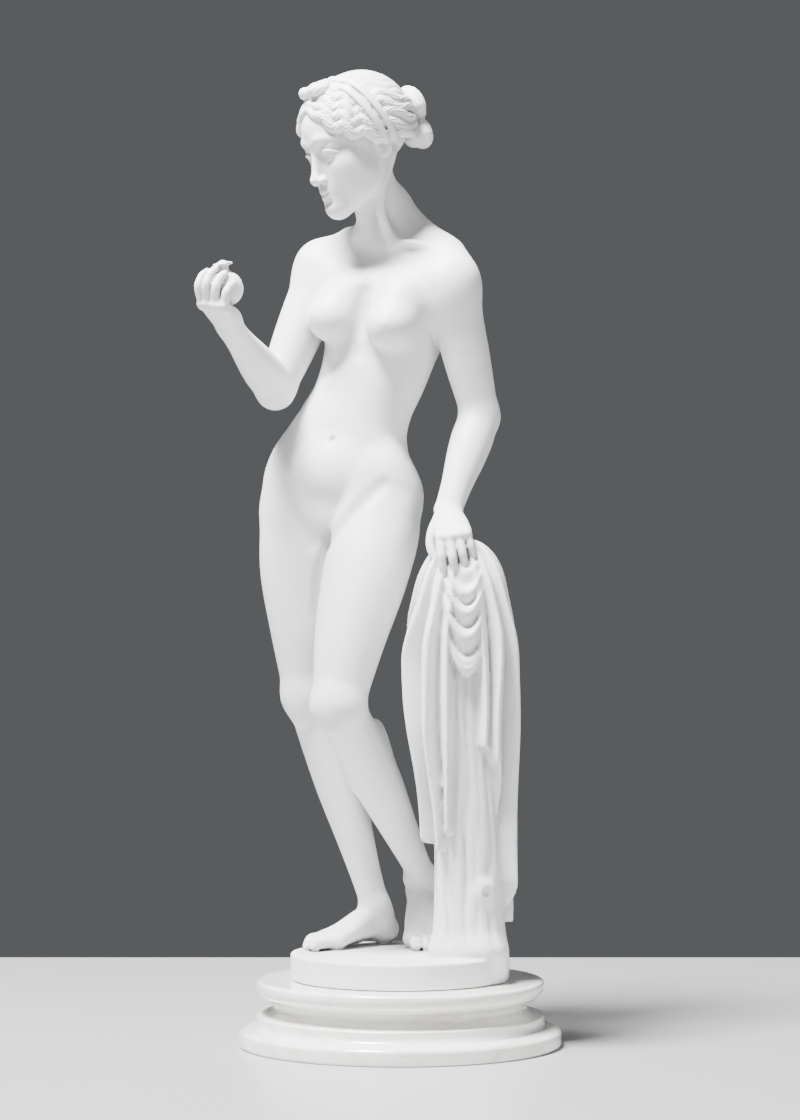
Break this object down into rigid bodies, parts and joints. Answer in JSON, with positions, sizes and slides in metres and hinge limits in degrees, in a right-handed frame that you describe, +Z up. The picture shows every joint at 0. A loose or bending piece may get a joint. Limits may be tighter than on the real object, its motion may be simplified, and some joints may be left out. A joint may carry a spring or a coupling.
{
  "type": "classical marble statue",
  "caption": "Standing female figure in the classical manner beside a cloth-draped tree stump, holding a small oil flask, on a round turned marble plinth.",
  "frame": {"origin": "centre of the plinth's flat underside", "axes": "+Z up along the plinth's axis; the figure is seen from the front from -Y, its chest faces between -Y and -X, its head and raised right hand are towards -X, and the draped stump is towards +X"},
  "size_m": [0.2658, 0.2374, 0.7204],
  "materials": {
    "statue_marble": "fine white marble, honed to a soft matt surface",
    "plinth_marble": "polished white marble with faint cream veins"
  },
  "bodies": {
    "root": {"statue": "statue_marble", "plinth": "plinth_marble"}
  },
  "joints": []
}
